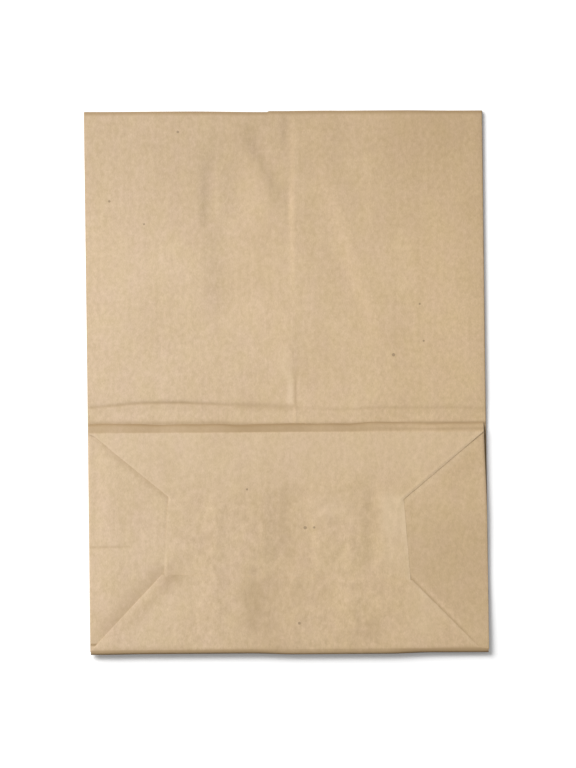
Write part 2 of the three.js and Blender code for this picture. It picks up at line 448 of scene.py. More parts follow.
# Inner ends of the slanting edges: across from the middle, and up from the bottom edge
SLANT_END = {
    (-1, "front"): (-91.4, 124.6),
    (1, "front"): (88.6, 121.2),
    (-1, "back"): (-96.8, 63.0),
    (1, "back"): (94.5, 57.0),
}
# How deep and how wide the slanting edges press into the end pieces, how much painted shade darkens the
# groove, and how much a painted highlight pales the end pieces beside that
Groove = namedtuple("Groove", "depth width tone rub")
GROOVE = {
    (-1, "front"): Groove(0.4, 3.5, 0.32, 0.0),
    (1, "front"): Groove(0.0, 1.0, 0.0, 0.2),
    (-1, "back"): Groove(0.15, 9.5, 0.36, 0.0),
    (1, "back"): Groove(0.1, 1.4, 0.62, 0.22),
}
GROOVE_HIGHLIGHT_OFF = 2.4
GROOVE_HIGHLIGHT_WIDTH = 2.2
GROOVE_END = 10.0
# How far each slanting edge stands in from its corner, and the shares of its length that the corner takes
CORNER_INSET = {(-1, "front"): 2.2, (1, "front"): 0.0, (-1, "back"): 0.0, (1, "back"): 6.2}
CORNER_SHARE = 0.04
CORNER_PRESS_SHARE = 0.3

# The tab lies on the end pieces and is tucked under the back flap
TAB_TUCK = 20.0
TAB_PRESS = {-1: 0.15, 1: 0.05}
TAB_STEP = 0.06
TAB_EASE = 0.1
RIGHT_TAB_DIP = 0.18
RIGHT_TAB_DIP_RUN = (0.45, 0.2)
TAB_ROLL = 12.0
TAB_ROLL_SPAN = (0.12, 0.5, 0.12)

# The flaps' edges: how wide they roll down, the ridge at the right, the painted highlights along them and
# the painted shade behind the left one
EDGE_SINK = 0.75 * PAPER
EDGE_ROLL = 2.6
LOW_ROLL = 1.4
WIDE_ROLL = 9.0
RIGHT_RIDGE = 0.1
RIDGE_IN = 2.6
RIDGE_WIDTH = 1.6
RIGHT_EDGE_HIGHLIGHT = 0.14
RIGHT_EDGE_HIGHLIGHT_WIDTH = 6.0
LEFT_EDGE_HIGHLIGHT = 0.2
LEFT_TAB_HIGHLIGHT = 0.1
LOW_LEFT_HIGHLIGHT = 0.06
LEFT_HIGHLIGHT_WIDTH = 3.2
LEFT_SHADE = 0.22
LEFT_SHADE_IN = 10.0
LEFT_SHADE_WIDTH = 7.0
LEFT_SHADE_RUN = (0.15, 0.3)

# Folds of the flaps, by the distance up from the bottom edge, and their sag, ridge, dip and puckers
FLAP_FOLDS = [
    SoftFold(0.55, -76, 20, 10, 22, 62, 18),
    SoftFold(-0.75, -36, 14, 40, 14, 66, 16),
    SoftFold(-0.6, -20, 11, 36, 74, 116, 18),
    SoftFold(0.55, 10, 20, 50, 84, 124, 18),
    SoftFold(0.75, 28, 22, 6, 18, 36, 14),
    SoftFold(-0.55, 60, 12, 24, 6, 18, 12),
    SoftFold(0.4, 0, 4.5, 30, 8, 26, 10),
]
FLAP_RIDGE = Patch(0.35, -55, 5.5, 80, 112, 16)
FLAP_SAG = 0.5
FLAP_SAG_UP = 75.0
FLAP_SAG_REACH = 60.0
FLAP_DIP = 0.45
FLAP_DIP_SPAN = (64.0, 65.0, 9.0)
FLAP_DIP_UP_SPAN = (84.0, 126.0, 16.0)
FLAP_EASE = 10.0
PUCKER_RISE = 0.075
PUCKER_AT = 20.0
PUCKER_REACH = 60.0
PUCKER_SPAN = (14.0, 108.0, 26.0)

# Where the flaps are darker, or paler below 0, by the distance up
Spot = namedtuple("Spot", "amount x width up height")
FLAP_PATCHES = [
    Patch(0.23, -11, 26, 2, 50, 20),
    Patch(0.18, 1, 11, 72, 118, 18),
    Patch(0.14, -29, 9, 22, 46, 12),
    Patch(-0.13, 103, 13, 18, 42, 12),
    Patch(-0.1, 78, 9, 76, 118, 14),
]
# Of these spots, the dark one by the left tip is painted shade, and the small pale one at the right tip a
# painted highlight
FLAP_SPOTS = [
    Spot(0.24, -91, 10, 60, 9),
    Spot(-0.17, 31, 18, 112, 11),
    Spot(0.18, 64, 9, 14, 9),
    Spot(-0.3, 94, 2, 57, 2),
]
# A painted highlight: a strip along the right tab, palest in its upper part
TAB_PALE = 0.19
TAB_PALE_SPAN = (76.0, 92.0, 9.0)
TAB_PALE_UP_SPAN = (62.0, 118.0, 10.0)
TAB_PALEST_UP_SPAN = (98.0, 116.0, 14.0)
TAB_PALEST_SHARE = 0.7
HINGE_PALE = 0.07
HINGE_PALE_RUN = (60.0, 40.0)
HINGE_PALE_UP_RUN = (118.0, 36.0)
# Painted shade on the rim of the flaps at the bottom edge
LOW_RIM = 0.3
LOW_RIM_MIDDLE = 0.22
LOW_RIM_RIGHT = 0.35
LOW_RIM_RIGHT_RUN = (90.0, 40.0)
LOW_RIM_WIDTH = 3.6
LOW_RIM_WANDER = 24.0
LOW_MIDDLE_SPAN = (0.0, 70.0, 25.0)

slant_shares = np.append(np.linspace(0.0, CORNER_SHARE, 4)[:-1], np.linspace(CORNER_SHARE, 1.0, 30))
tab_shares = np.linspace(0.0, 1.0, 20)[1:]


def glue_puckers(x, y):
    """Puckers where the flaps are glued: sines across x whose phase drifts with y, under a wide bell."""
    up = y - BOTTOM
    glued = bell((x - PUCKER_AT) / PUCKER_REACH) * span(up, *PUCKER_SPAN)
    ripple = 0.8 * np.sin(x / 3.3 + 1.1 * np.sin(up / 19.0)) + np.sin(x / 5.6 - up / 31.0 + 1.0)
    ripple += 1.1 * np.sin(x / 9.0 + up / 52.0 + 2.2) + 0.6 * np.sin(x / 4.4 + up / 26.0)
    ripple += 0.8 * np.sin(x / 1.9 + 1.7 * np.sin(up / 15.0)) * np.sin(up / 23.0 + x / 40.0)
    return PUCKER_RISE * glued * ripple


def flap_waves(x, y):
    """Rise of the flaps over their level: a sag that is a bell both ways, the puckers and a few soft folds.

    All of it eases out at the bottom edge and at the hinge.
    """
    up = y - BOTTOM
    z = glue_puckers(x, y) + soft_folds(FLAP_FOLDS, x, up) + patches([FLAP_RIDGE], x, up)
    z -= FLAP_SAG * bell(x / FLAP_SAG_REACH) * bell((up - FLAP_SAG_UP) / FLAP_SAG_REACH)
    z -= FLAP_DIP * span(x, *FLAP_DIP_SPAN) * span(up, *FLAP_DIP_UP_SPAN)
    return z * smooth(up / FLAP_EASE) * smooth((FLAP_TOP - y) / FLAP_EASE)


def stains_and_painted_light(x, y):
    """How far the flaps are darkened: the sum of the patches and of the spots, which are bells both ways.

    A strip along the right tab is paler, a painted highlight, and the rim below the hinge is paler too. Of
    the spots, the dark one by the left tip is painted shade and the small pale one at the right tip a
    painted highlight. The rim at the bottom edge is darkened by painted shade, less so right of the middle,
    and its width wanders with a sine of x.
    """
    up = y - BOTTOM
    stain = patches(FLAP_PATCHES, x, up)
    for spot in FLAP_SPOTS:
        stain = stain + spot.amount * bell((x - spot.x) / spot.width) * bell((up - spot.up) / spot.height)
    # The painted highlight along the right tab
    beside_tab = (1 - TAB_PALEST_SHARE) * span(up, *TAB_PALE_UP_SPAN)
    beside_tab = beside_tab + TAB_PALEST_SHARE * span(up, *TAB_PALEST_UP_SPAN)
    stain = stain - TAB_PALE * span(x, *TAB_PALE_SPAN) * beside_tab
    stain = stain - HINGE_PALE * (1 + ease(x, *HINGE_PALE_RUN)) * ease(up, *HINGE_PALE_UP_RUN)
    # Painted shade along the rim at the bottom edge
    rim_shade = LOW_RIM - LOW_RIM_MIDDLE * span(x, *LOW_MIDDLE_SPAN)
    rim_shade = rim_shade + LOW_RIM_RIGHT * ease(x, *LOW_RIM_RIGHT_RUN)
    return stain + rim_shade * (1 - smooth(up / (LOW_RIM_WIDTH + np.sin(x / LOW_RIM_WANDER))))


def slant_end(hand, flap):
    """The inner end of a slanting edge in plan."""
    x, up = SLANT_END[hand, flap]
    return np.array([x, up - HEIGHT / 2])


def run(start, end, shares):
    """Points in plan at the given shares of the way from start to end."""
    return np.asarray(start) * (1 - shares[:, None]) + np.asarray(end) * shares[:, None]


def flap(
    layer, left, right, left_drop, right_drop, left_roll, right_roll, right_ridge, left_highlight, left_shade
):
    """A flap is ruled from its left edge to its right edge; close to each, it drops over the roll.

    Beside the right edge it first rises by a bell, the ridge. Both edges carry a painted highlight, and
    behind the left one a soft bell of painted shade may follow.
    """
    plan = left[None] * (1 - across[:, None, None]) + right[None] * across[:, None, None]
    x, y = plan[..., 0], plan[..., 1]
    wide = (right - left)[:, 0]
    from_left, from_right = across[:, None] * wide, (1 - across[:, None]) * wide
    z = LEVEL[layer] + flap_waves(x, y) + hinge_lift(y)
    z = z - left_drop * (1 - smooth(from_left / left_roll))
    z = z - right_drop * (1 - smooth(from_right / right_roll))
    z = z + right_ridge * bell((from_right - RIDGE_IN) / RIDGE_WIDTH)
    # Painted highlights along both edges, and painted shade behind the left one
    painted_light = RIGHT_EDGE_HIGHLIGHT * (1 - smooth(from_right / RIGHT_EDGE_HIGHLIGHT_WIDTH))
    painted_light = painted_light + left_highlight * (1 - smooth(from_left / LEFT_HIGHLIGHT_WIDTH))
    painted_light = painted_light - left_shade * bell((from_left - LEFT_SHADE_IN) / LEFT_SHADE_WIDTH)
    return keep(points(x, y, z), stains_and_painted_light(x, y) - painted_light)


def edge_drop(hand, name, shares):
    """How far a slanting edge drops to lie on the end piece, as it presses in: less near its corner."""
    resting = LEVEL[f"{name} flap"] - LEVEL["flap corner"] - EDGE_SINK
    return (resting + GROOVE[hand, name].depth) * smooth(shares / CORNER_PRESS_SHARE)


front_edge, back_edge, front_drop, back_drop = {}, {}, {}, {}
on_slant = np.concatenate([slant_shares, np.ones_like(tab_shares)])
on_tab = np.concatenate([np.zeros_like(slant_shares), tab_shares])
onto_tab = smooth(on_tab / TAB_EASE)
for hand in (-1, 1):
    shoulder, tip = slant_end(hand, "front"), slant_end(hand, "back")
    off_corner = hand * smooth(slant_shares / CORNER_SHARE) * (1 - slant_shares)
    slant = run((bottom_side(hand, FLAP_TOP), FLAP_TOP), shoulder, slant_shares)
    slant[:, 0] -= CORNER_INSET[hand, "front"] * off_corner
    front_edge[hand] = np.concatenate([slant, run(shoulder, tip - (0, TAB_TUCK), tab_shares)])
    back_edge[hand] = run((bottom_side(hand, BOTTOM), BOTTOM), tip, slant_shares)
    back_edge[hand][:, 0] -= CORNER_INSET[hand, "back"] * off_corner
    tab_drop = LEVEL["front flap"] - LEVEL["end piece"] - TAB_STEP
    tab_drop = tab_drop - RIGHT_TAB_DIP * (hand > 0) * ease(on_tab, *RIGHT_TAB_DIP_RUN)
    front_drop[hand] = edge_drop(hand, "front", on_slant) * (1 - onto_tab) + tab_drop * onto_tab
    back_drop[hand] = edge_drop(hand, "back", slant_shares)

roll = EDGE_ROLL + (TAB_ROLL - EDGE_ROLL) * span(on_tab, *TAB_ROLL_SPAN)
ridge = RIGHT_RIDGE * (1 - onto_tab)
edges, drops = (front_edge[-1], front_edge[1]), (front_drop[-1], front_drop[1])
# The front flap's left edge carries a painted highlight, less along its tab
left_highlight = LEFT_EDGE_HIGHLIGHT + (LEFT_TAB_HIGHLIGHT - LEFT_EDGE_HIGHLIGHT) * onto_tab
front_flap = flap("front flap", *edges, *drops, roll, roll, ridge, left_highlight, 0.0)
edges, drops = (back_edge[-1], back_edge[1]), (back_drop[-1], back_drop[1])
left_shade = LEFT_SHADE * ease(slant_shares, *LEFT_SHADE_RUN)
back_flap = flap("back flap", *edges, *drops, WIDE_ROLL, LOW_ROLL, RIGHT_RIDGE, LOW_LEFT_HIGHLIGHT, left_shade)

# The hinge's springy nose: its reach wanders across the bag and it sags. It is darkened, partly as a worn
# crease and partly by painted shade, most along the line where it meets the front, a painted contact shadow
NOSE_REACH = 3.0
NOSE_STEPS = 14
NOSE_AT = 0.14
NOSE_FULLNESS = 1.2
NOSE_SAG = 0.7
NOSE_SAG_UP = 0.12
NOSE_SAG_WIDTH = 0.2
NOSE_WEAR_AND_SHADE = 0.55
NOSE_MIDDLE_WEAR_AND_SHADE = 0.18
NOSE_LINE = 0.42
NOSE_LINE_UP = 0.16
NOSE_LINE_WIDTH = 0.22
NOSE_RIGHT_RUN = (40.0, 70.0)
NOSE_RIGHT_PALE = 0.3
NOSE_RIGHT_LINE = 0.2
NOSE_RIGHT_LINE_WIDTH = 0.2
NOSE_RIGHT_TOP = 0.28
NOSE_RIGHT_TOP_UP = 0.76
NOSE_RIGHT_TOP_WIDTH = 0.12
NOSE_TOP_RUN = (0.92, 0.08)
NOSE_MOTTLE = 0.12
wander = 0.4 * np.sin(columns / 31.0) + 0.3 * np.sin(columns / 11.0 + 1.0) + 0.2 * np.sin(columns / 4.7)
wander += 0.7 * smooth((columns - 45) / 25) - 0.55 * smooth((columns + 10) / 20)
up_nose = fold_shares(NOSE_STEPS)
nose_ends = front_return[:, -1], front_flap[:, 0]
nose = fold(*nose_ends, (0, 1), NOSE_REACH + wander, NOSE_STEPS, NOSE_AT, NOSE_FULLNESS)
sagging = bell((up_nose - NOSE_SAG_UP) / NOSE_SAG_WIDTH) * smooth(up_nose / 0.05)
sagging = sagging * smooth((1 - up_nose) / NOSE_SAG_WIDTH)
nose[..., 2] -= NOSE_SAG * sagging
place = columns[:, None]
# The nose's tone: partly a worn crease, partly painted shade, with a painted contact shadow low on it; at
# the right it is paler, with a darker line near its top
right_tone = NOSE_RIGHT_TOP * bell((up_nose - NOSE_RIGHT_TOP_UP) / NOSE_RIGHT_TOP_WIDTH) - NOSE_RIGHT_PALE
right_tone = right_tone + NOSE_RIGHT_LINE * bell((up_nose - NOSE_LINE_UP) / NOSE_RIGHT_LINE_WIDTH)
nose_wear_and_shade = NOSE_WEAR_AND_SHADE + NOSE_MIDDLE_WEAR_AND_SHADE * bell((place + 15) / 50)
nose_wear_and_shade = nose_wear_and_shade + NOSE_LINE * bell((up_nose - NOSE_LINE_UP) / NOSE_LINE_WIDTH)
nose_wear_and_shade += ease(place, *NOSE_RIGHT_RUN) * right_tone
nose_wear_and_shade *= 1 + NOSE_MOTTLE * np.sin(place / 8.5 + 2.0) * np.sin(place / 23.0)
keep(nose, np.minimum(nose_wear_and_shade, 1.0) * (1 - ease(up_nose, *NOSE_TOP_RUN)))

# The bottom edge: a full round fold that stands out further right of the middle, with painted shade along a
# line round its outer face
LOW_STEPS = 10
LOW_NOSE = 0.62
LOW_BULGE = 1.0
LOW_BULGE_SPAN = (5.0, 75.0, 35.0)
LOW_LEFT_BULGE = 0.3
LOW_LEFT_AT = -140.0
LOW_LEFT_REACH = 18.0
LOW_SHADE = 1.22
LOW_SHADE_RIGHT = 0.2
LOW_SHADE_RUN = (40.0, 80.0)
LOW_LINE_UP = 0.68
LOW_LINE_DIP = 0.1
LOW_LINE_WIDTH = 0.42
up_fold = fold_shares(LOW_STEPS)
low_reach = BOTTOM_FOLD + LOW_BULGE * span(columns, *LOW_BULGE_SPAN)
low_reach = low_reach + LOW_LEFT_BULGE * bell((columns - LOW_LEFT_AT) / LOW_LEFT_REACH)
low_fold = fold(back[:, 0], back_flap[:, 0], (0, -1), low_reach, LOW_STEPS, LOW_NOSE)
# Painted shade along the bottom fold's outer face, past 1 into the deep shade colour
low_shade = LOW_SHADE + LOW_SHADE_RIGHT * ease(place, *LOW_SHADE_RUN)
low_line = LOW_LINE_UP - LOW_LINE_DIP * span(place, *LOW_MIDDLE_SPAN)
keep(low_fold, low_shade * bell((up_fold - low_line) / LOW_LINE_WIDTH))

# The end pieces under the flaps, with the marks of the slanting edges, a nick and a short crease at the
# left.
# The right one and its side fold are darkened by painted shade
END_UNDERLAP = 12.0
# Painted shade on the right end piece, most towards the bottom edge, and on its side fold
RIGHT_END_TONE = 0.15
RIGHT_END_FADE = 0.9
RIGHT_END_RUN = (-110.0, 70.0)
RIGHT_SIDE_SHADE = 0.3
RIGHT_SIDE_RUN = (50.0, 70.0)
TAB_PRESS_WIDTH = 1.5
TAB_PRESS_RUN = (12.0, 30.0)
SHORT_CREASE_DROP = 6.4
SHORT_CREASE_WIDTH = 1.1
SHORT_CREASE_DENT = 0.12
SHORT_CREASE_TONE = 0.3
SHORT_CREASE_RUN = (112.0, 26.0)
NICK_UP = 5.0
NICK_WIDTH = 0.9
NICK_DENT = 0.2
NICK_RUN = (143.0, 3.0)
shown_shares = np.append(np.linspace(0.0, 0.9, 32), np.linspace(0.92, 1.0, 5))[:, None]
hidden_shares = np.array([0.1, 0.3, 1.0])[:, None]

for hand in (-1, 1):
    shoulder, tip = slant_end(hand, "front"), slant_end(hand, "back")
    tab_edge = tip[0] + (shoulder[0] - tip[0]) * (end_rows - tip[1]) / (shoulder[1] - tip[1])
    inner = tab_edge - hand * END_UNDERLAP
    outer = bottom_side(hand, end_rows)
    shown = outer * (1 - shown_shares) + tab_edge * shown_shares
    hidden = tab_edge * (1 - hidden_shares) + inner * hidden_shares
    x = np.concatenate([shown, hidden])
    y = np.broadcast_to(end_rows, x.shape)
    z = LEVEL["end piece"] + hinge_lift(y)
    under_tab = smooth(hand * (tab_edge - x) / TAB_PRESS_WIDTH + 1)
    z = z - TAB_PRESS[hand] * under_tab * ease(y - tip[1], *TAB_PRESS_RUN)
    # Painted shade on the right end piece, fading towards the hinge
    wear_and_shade = RIGHT_END_TONE * (hand > 0) * (1 - RIGHT_END_FADE * ease(y - HINGE, *RIGHT_END_RUN))
    for name, corner_y in (("front", FLAP_TOP), ("back", BOTTOM)):
        corner = np.array([bottom_side(hand, corner_y) - hand * CORNER_INSET[hand, name], corner_y])
        line = slant_end(hand, name) - corner
        length = np.hypot(*line)
        groove = GROOVE[hand, name]
        beside = ((x - corner[0]) * line[1] - (y - corner[1]) * line[0]) / length
        forward = ((x - corner[0]) * line[0] + (y - corner[1]) * line[1]) / length
        along = smooth(forward / length / CORNER_PRESS_SHARE) * (1 - smooth((forward - length) / GROOVE_END))
        # Painted shade in the groove along each slanting edge, and a painted highlight beside it
        pressed = bell(beside / groove.width) * along
        painted_light = bell((np.abs(beside) - GROOVE_HIGHLIGHT_OFF) / GROOVE_HIGHLIGHT_WIDTH) * along
        z = z - groove.depth * pressed
        wear_and_shade = wear_and_shade + groove.tone * pressed - groove.rub * painted_light
    short_crease = bell((y - MIDDLE + SHORT_CREASE_DROP) / SHORT_CREASE_WIDTH) * (hand < 0)
    short_crease = short_crease * ease(np.abs(x), *SHORT_CREASE_RUN)
    nick = bell((y - BOTTOM - NICK_UP) / NICK_WIDTH) * ease(np.abs(x), *NICK_RUN) * (hand < 0)
    z = z - SHORT_CREASE_DENT * short_crease - NICK_DENT * nick
    end_piece = keep(points(x, y, z), wear_and_shade + SHORT_CREASE_TONE * short_crease + nick)
    # Painted shade on the bottom's right side fold, more towards the hinge
    side_fold_tone = RIGHT_SIDE_SHADE * (hand > 0) * ease(end_rows - BOTTOM, *RIGHT_SIDE_RUN)
    keep(fold(gusset_floor[hand][0], end_piece[0], (hand, 0), SIDE_FOLD), side_fold_tone[:, None])

    flap_side = -1 if hand > 0 else 0
    inward_shares = np.linspace(0.0, 1.0, len(x))[:, None, None]
    for made, name, edge_line, end_row, way in (
        (front_flap, "front", front_edge[hand][: len(slant_shares)], -1, 1),
        (back_flap, "back", back_edge[hand], 0, -1),
    ):
        hidden_line = np.stack([np.full(len(edge_line), inner[end_row]), edge_line[:, 1]], axis=1)
        plan = edge_line[None] * (1 - inward_shares) + hidden_line[None] * inward_shares
        lying = LEVEL["flap corner"] + hinge_lift(plan[..., 1])
        lying = lying - GROOVE[hand, name].depth * smooth(slant_shares / CORNER_PRESS_SHARE)
        tucked = keep(points(plan[..., 0], plan[..., 1], lying))
        keep(fold(end_piece[:, end_row], tucked[:, 0], (0, way), SIDE_FOLD / 2, 3), FOLD_WEAR_AND_SHADE)
        keep(fold(tucked[0], made[flap_side, : len(edge_line)], (hand, -way), SIDE_FOLD / 3, 3), 0.0)

# The paper
# All these stretches are one sheet of uncoated brown kraft paper, so they are joined edge to edge.
# It shows cloudy pulp, fibres drawn out along the tube, a few flecks of bark, darker creases, and painted
# shade and highlights.

WELD = 1e-6
LEAN = math.tan(math.radians(0.29))
WIDEN = 0.0048
LOWER_WIDEN_SHARE = 0.5
LEFT_PRESS = 0.8
LEFT_PRESS_WIDTH = 18.0
LEFT_PRESS_END_RUN = (-30.0, 30.0)
RIGHT_PRESS = 0.72
RIGHT_LEVEL = 0.9
RIGHT_LEVEL_RUN = (-125.0, 60.0)
RIGHT_SPRING = 1.25
RIGHT_SPRING_RUN = (-5.0, 35.0)
RIGHT_WIDTH = 90.0
EDGE_LIFT = 1.5
EDGE_LIFT_LENGTH = 60.0
EDGE_LIFT_LOSS = 0.5
EDGE_CLOSE = 2.0


def join_sheet(name):
    """Joins the kept grids: equal points become one vertex, and each cell of a grid is a face.

    The flat tube is a little wider towards its mouth, and lies a little out of square, so each point
    moves left by a small share of its y. Towards both sides the folded bottom is pressed flatter; at the
    right the tube springs open. Towards the bottom edge all layers rise off the table, less so at the
    right, and the lower ones close up.
    """
    every_point = np.concatenate([grid.reshape(-1, 3) for grid, _ in grids])
    x, y = every_point[:, 0], every_point[:, 1]
    rightwards = smooth((x - SIDE + RIGHT_WIDTH) / RIGHT_WIDTH)
    leftwards = smooth((-x - SIDE + LEFT_PRESS_WIDTH) / LEFT_PRESS_WIDTH)
    leftwards = leftwards * (1 - ease(y - HINGE, *LEFT_PRESS_END_RUN))
    pressed = RIGHT_PRESS + (RIGHT_LEVEL - RIGHT_PRESS) * ease(y - HINGE, *RIGHT_LEVEL_RUN)
    pressed += (RIGHT_SPRING - RIGHT_LEVEL) * ease(y - HINGE, *RIGHT_SPRING_RUN)
    every_point[:, 2] *= 1 + (pressed - 1) * rightwards
    every_point[:, 2] *= 1 + (LEFT_PRESS - 1) * leftwards
    z = every_point[:, 2]
    lift = EDGE_LIFT * (1 - smooth((y - BOTTOM) / EDGE_LIFT_LENGTH)) * (1 - EDGE_LIFT_LOSS * rightwards)
    close = EDGE_CLOSE * (1 - smooth((y - BOTTOM) / (MIDDLE - BOTTOM))) * (1 - z / THICKNESS)
    every_point[:, 2] = z + lift + close
    every_point[:, 0] *= 1 + WIDEN * np.maximum(y, LOWER_WIDEN_SHARE * y) / MOUTH
    every_point[:, 0] -= LEAN * every_point[:, 1]
    every_point *= MM
    every_crease_and_shade = np.concatenate([wear_and_shade.reshape(-1) for _, wear_and_shade in grids])
    cells, start = [], 0
    for grid, _ in grids:
        n, m = grid.shape[:2]
        index = start + np.arange(n * m).reshape(n, m)
        ring = (index[:-1, :-1], index[1:, :-1], index[1:, 1:], index[:-1, 1:])
        cells.append(np.stack(ring, axis=-1).reshape(-1, 4))
        start += n * m
    same = np.round(every_point / WELD).astype(np.int64)
    _, first, joined = np.unique(same, axis=0, return_index=True, return_inverse=True)
    crease_and_shade = np.full(len(first), -1.0, np.float32)
    np.maximum.at(crease_and_shade, joined.reshape(-1), every_crease_and_shade.astype(np.float32))
    faces = joined.reshape(-1)[np.concatenate(cells)]
    faces = [list(dict.fromkeys(face)) for face in faces.tolist()]
    mesh = bpy.data.meshes.new(name)
    mesh.from_pydata(every_point[first], [], [face for face in faces if len(face) > 2])
    # The attribute holds crease wear together with painted shade and painted highlights
    mesh.attributes.new("crease_and_shade", "FLOAT", "POINT").data.foreach_set("value", crease_and_shade)
    mesh.polygons.foreach_set("use_smooth", np.ones(len(mesh.polygons), bool))
    sheet = bpy.data.objects.new(name, mesh)
    bpy.context.scene.collection.objects.link(sheet)
    return sheet


def turn_faces(sheet):
    """Turns all faces of the sheet the same way, with the outside of the bag outwards."""
    bpy.context.view_layer.objects.active = sheet
    sheet.select_set(True)
    bpy.ops.object.mode_set(mode="EDIT")
    bpy.ops.mesh.select_all(action="SELECT")
    bpy.ops.mesh.normals_make_consistent(inside=False)
    bpy.ops.object.mode_set(mode="OBJECT")
    sheet.select_set(False)


# Each grain of the paper is a noise, stretched along the tube, between a dark and a light colour
Grain = namedtuple("Grain", "scale stretch detail roughness low dark high light")
PULP = Grain(26.0, 0.7, 4.0, 0.55, 0.32, (0.624, 0.465, 0.29), 0.68, (0.656, 0.495, 0.313))
CLOUDS = Grain(330.0, 0.7, 2.0, 0.5, 0.3, (0.94, 0.934, 0.908), 0.7, (1.05, 1.05, 1.066))
FIBRES = Grain(1500.0, 0.4, 3.0, 0.65, 0.3, (0.92, 0.912, 0.9), 0.7, (1.06, 1.06, 1.06))
STREAKS = Grain(240.0, 0.03, 3.0, 0.6, 0.35, (0.985, 0.983, 0.98), 0.65, (1.01, 1.01, 1.01))
TINGES = Grain(75.0, 0.7, 2.0, 0.5, 0.3, (0.994, 1.0, 0.968), 0.7, (1.006, 0.999, 1.032))
CRUMPLES = Grain(170.0, 0.6, 3.0, 0.6, 0.3, (0.925, 0.918, 0.9), 0.7, (1.06, 1.06, 1.06))

# Tints across the bag, which are painted light, and towards its mouth, masks for where the flaps are pasted,
# and the colours for creases, painted shade and painted highlights
LEFT_LIGHT_TINT = (1.0, 1.018, 1.088)
RIGHT_SHADE_TINT = (0.978, 0.962, 0.935)
PLAIN_TINT = (1.0, 1.0, 1.0)
MOUTH_TINT = (0.885, 0.875, 0.86)
ALL = (1.0, 1.0, 1.0)
LITTLE = (0.15, 0.15, 0.15)
NONE = (0.0, 0.0, 0.0)
CREASE_AND_SHADE_COLOUR = (0.36, 0.245, 0.13, 1.0)
DEEP_SHADE_COLOUR = (0.1, 0.06, 0.03, 1.0)
PALE_AND_HIGHLIGHT_COLOUR = (0.86, 0.69, 0.48, 1.0)
FLECK_COLOUR = (0.16, 0.11, 0.07, 1.0)
FLECK_STRENGTH = 0.5
ROUGHNESS = 0.9
SHEEN = 0.2
BUMP_STRENGTH = 0.2
BUMP_DEPTH = 0.3

# Flecks of bark: across, along and radius
FLECKS = [
    (82.2, 20.6, 1.3),
    (102.7, 60.9, 0.8),
    (105.4, 31.5, 0.8),
    (-134.9, 144.5, 0.9),
    (-108.3, 126.1, 0.8),
    (-82.0, 199.7, 1.0),
    (-30.7, -86.0, 0.9),
    (13.6, -116.6, 1.3),
    (20.5, -116.6, 0.9),
    (8.6, -192.6, 1.1),
]


